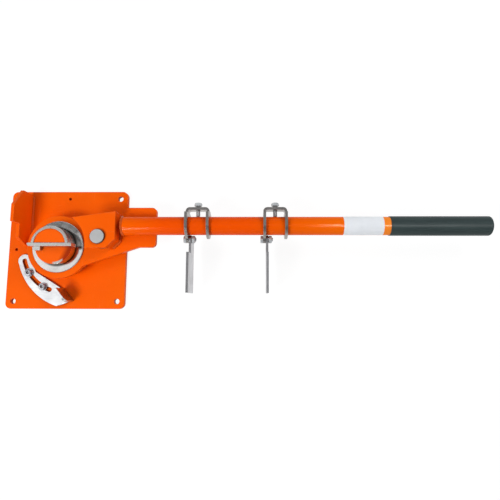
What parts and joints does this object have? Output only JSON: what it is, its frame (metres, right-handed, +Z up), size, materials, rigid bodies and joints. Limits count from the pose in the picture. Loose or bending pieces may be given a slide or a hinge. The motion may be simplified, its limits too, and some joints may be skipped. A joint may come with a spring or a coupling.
{
  "type": "bar bending machine",
  "caption": "Bench bar bender: square base plate with a notched fence, a round former post, a swinging lever with a roller, an adjustable angle stop and sliding length stops.",
  "frame": {"origin": "where the pivot axis meets the underside of the base plate, which is the middle of the bench bolt holes", "axes": "+X along the lever towards the grip, +Y towards the fence's far end, +Z up along the pivot axis"},
  "size_m": [0.943, 0.24, 0.0925],
  "materials": {
    "orange_paint": "gloss orange paint",
    "bright_steel": "turned bare steel",
    "zinc": "bright zinc plate",
    "bronze": "oiled bronze",
    "grip_rubber": "smooth dark grey rubber",
    "label_film": "blank white film"
  },
  "bodies": {
    "base": {"base_plate": "orange_paint", "fence_plate": "orange_paint", "pivot_boss": "orange_paint", "thrust_washer": "bronze", "centre_post": "orange_paint", "retaining_collar": "bright_steel", "former_shell": "bright_steel", "former_key": "bright_steel", "key_block": "bright_steel", "arc_stop_screws": "zinc", "arc_stop_washers": "zinc"},
    "arc": {"arc_stop": "zinc"},
    "lever": {"lever_lower_plate": "orange_paint", "lever_upper_plate": "orange_paint", "lever_web": "orange_paint", "lever_bush": "bronze", "roller_pin": "bright_steel", "pin_circlip": "bright_steel", "lever_tube": "orange_paint", "grip": "grip_rubber", "blank_label": "label_film"},
    "roller": {"bending_roller": "bright_steel", "roller_bush": "bronze"},
    "stop_1": {"stop_1_bracket": "zinc", "stop_1_bolt": "zinc", "stop_1_nut": "zinc"},
    "screw_1": {"stop_1_screw": "zinc"},
    "flag_1": {"stop_1_flag": "zinc"},
    "stop_2": {"stop_2_bracket": "zinc", "stop_2_bolt": "zinc", "stop_2_nut": "zinc"},
    "screw_2": {"stop_2_screw": "zinc"},
    "flag_2": {"stop_2_flag": "zinc"}
  },
  "joints": [
    {"name": "lever_swing", "type": "hinge", "parent": "base", "child": "lever", "pos_m": [0, 0, 0.045], "axis": [0, 0, 1], "range_deg": [-54, 85]},
    {"name": "roller_spin", "type": "hinge", "parent": "lever", "child": "roller", "pos_m": [0.088, 0.0155, 0.062], "axis": [0, 0, 1], "continuous": true},
    {"name": "arc_stop_swing", "type": "hinge", "parent": "base", "child": "arc", "pos_m": [0, 0, 0.0127], "axis": [0, 0, 1], "range_deg": [-6, 14]},
    {"name": "stop_1_slide", "type": "slide", "parent": "lever", "child": "stop_1", "axis": [1, 0, 0], "range_m": [-0.045, 0.045]},
    {"name": "stop_1_clamp", "type": "slide", "parent": "stop_1", "child": "screw_1", "axis": [0, 1, 0], "range_m": [0, 0.006]},
    {"name": "stop_1_flip", "type": "hinge", "parent": "stop_1", "child": "flag_1", "pos_m": [0.258, 0.0133, 0.0585], "axis": [-1, 0, 0], "range_deg": [-12, 90]},
    {"name": "stop_2_slide", "type": "slide", "parent": "lever", "child": "stop_2", "axis": [1, 0, 0], "range_m": [-0.045, 0.09]},
    {"name": "stop_2_clamp", "type": "slide", "parent": "stop_2", "child": "screw_2", "axis": [0, 1, 0], "range_m": [0, 0.006]},
    {"name": "stop_2_flip", "type": "hinge", "parent": "stop_2", "child": "flag_2", "pos_m": [0.405, 0.0133, 0.0585], "axis": [-1, 0, 0], "range_deg": [-12, 90]}
  ]
}
